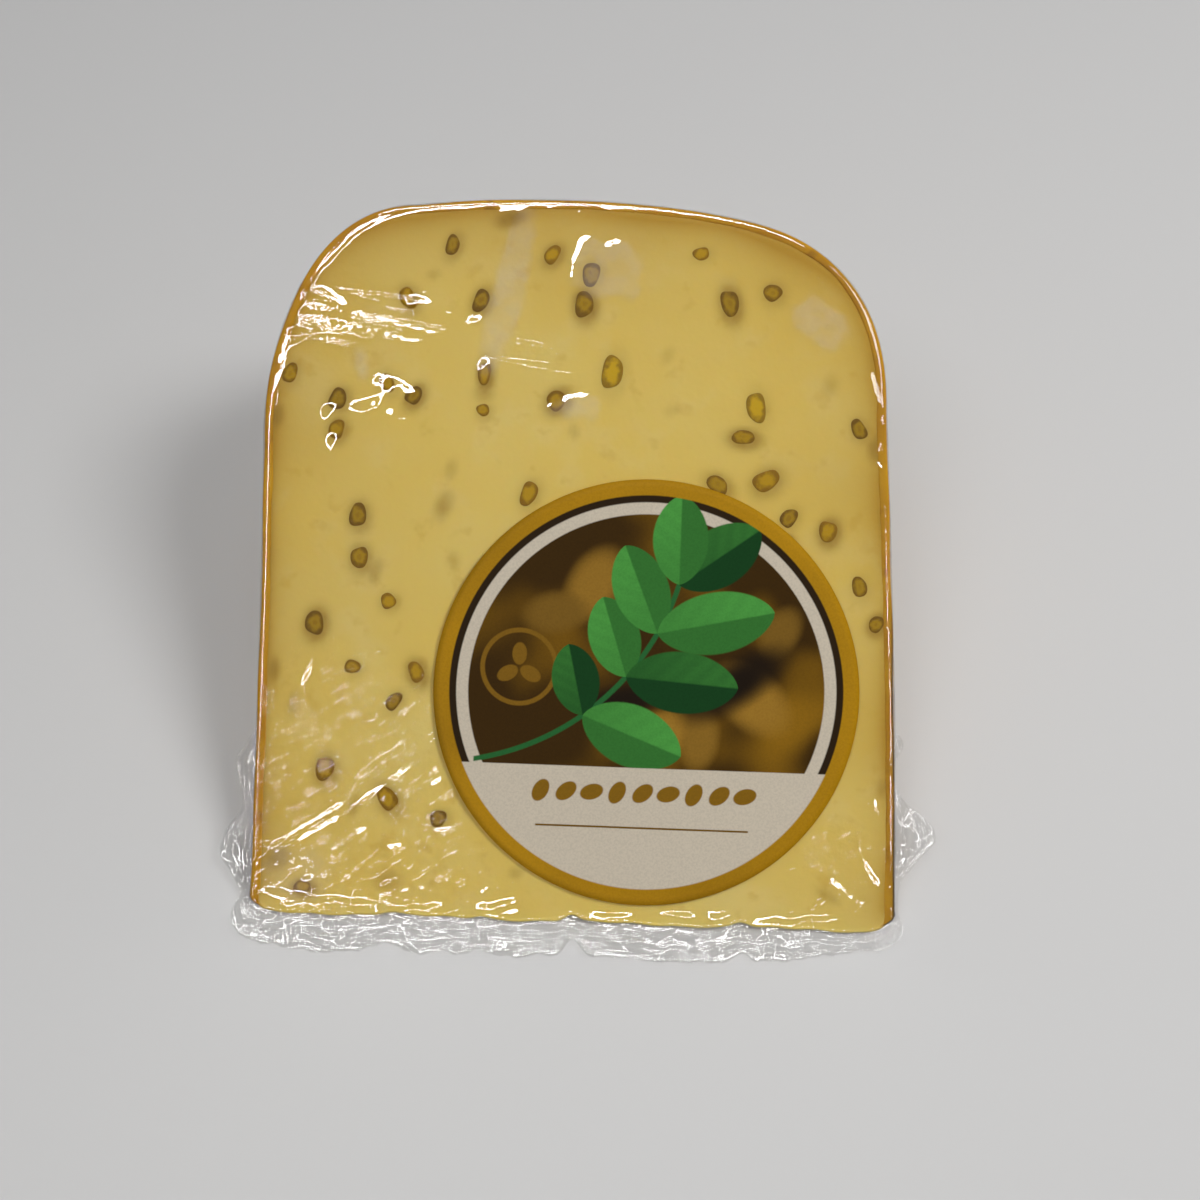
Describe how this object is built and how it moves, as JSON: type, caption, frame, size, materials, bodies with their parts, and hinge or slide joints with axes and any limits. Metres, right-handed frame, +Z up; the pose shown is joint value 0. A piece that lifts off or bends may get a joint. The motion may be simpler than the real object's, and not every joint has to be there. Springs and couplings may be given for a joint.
{
  "type": "cheese wedge",
  "caption": "Wedge of semi-hard cheese with fenugreek seeds, lying on its lower cut face and sealed in clear film with a skirt round the thin half and a plain round label",
  "frame": {"origin": "On the ground, under the middle of the box of the whole pack as it lies on its lower cut face.", "axes": "+X across the wheel's thickness, to the right as the label is read; +Y from the thin edge out to the rim; +Z up."},
  "size_m": [0.119, 0.1258, 0.0596],
  "materials": {
    "paste": "satin",
    "coat": "satin",
    "seed": "satin",
    "film": "gloss",
    "label_paper": "matte"
  },
  "bodies": {
    "root": {"fenugreek_seed_01": "seed", "fenugreek_seed_02": "seed", "fenugreek_seed_03": "seed", "fenugreek_seed_04": "seed", "fenugreek_seed_05": "seed", "fenugreek_seed_06": "seed", "fenugreek_seed_07": "seed", "fenugreek_seed_08": "seed", "fenugreek_seed_09": "seed", "fenugreek_seed_10": "seed", "fenugreek_seed_11": "seed", "fenugreek_seed_12": "seed", "fenugreek_seed_13": "seed", "fenugreek_seed_14": "seed", "fenugreek_seed_15": "seed", "fenugreek_seed_16": "seed", "fenugreek_seed_17": "seed", "fenugreek_seed_18": "seed", "fenugreek_seed_19": "seed", "fenugreek_seed_20": "seed", "fenugreek_seed_21": "seed", "fenugreek_seed_22": "seed", "fenugreek_seed_23": "seed", "fenugreek_seed_24": "seed", "fenugreek_seed_25": "seed", "fenugreek_seed_26": "seed", "fenugreek_seed_27": "seed", "fenugreek_seed_28": "seed", "fenugreek_seed_29": "seed", "fenugreek_seed_30": "seed", "fenugreek_seed_31": "seed", "fenugreek_seed_32": "seed", "fenugreek_seed_33": "seed", "fenugreek_seed_34": "seed", "fenugreek_seed_35": "seed", "fenugreek_seed_36": "seed", "fenugreek_seed_37": "seed", "fenugreek_seed_38": "seed", "fenugreek_seed_39": "seed", "fenugreek_seed_40": "seed", "fenugreek_seed_41": "seed", "fenugreek_seed_42": "seed", "fenugreek_seed_43": "seed", "fenugreek_seed_44": "seed", "fenugreek_seed_45": "seed", "fenugreek_seed_46": "seed", "fenugreek_seed_47": "seed", "fenugreek_seed_48": "seed", "fenugreek_seed_49": "seed", "fenugreek_seed_50": "seed", "fenugreek_seed_51": "seed", "fenugreek_seed_52": "seed", "fenugreek_seed_53": "seed", "fenugreek_seed_54": "seed", "cheese_paste": "paste", "rind_coat": "coat", "film_upper": "film", "film_lower": "film", "label": "label_paper"}
  },
  "joints": []
}
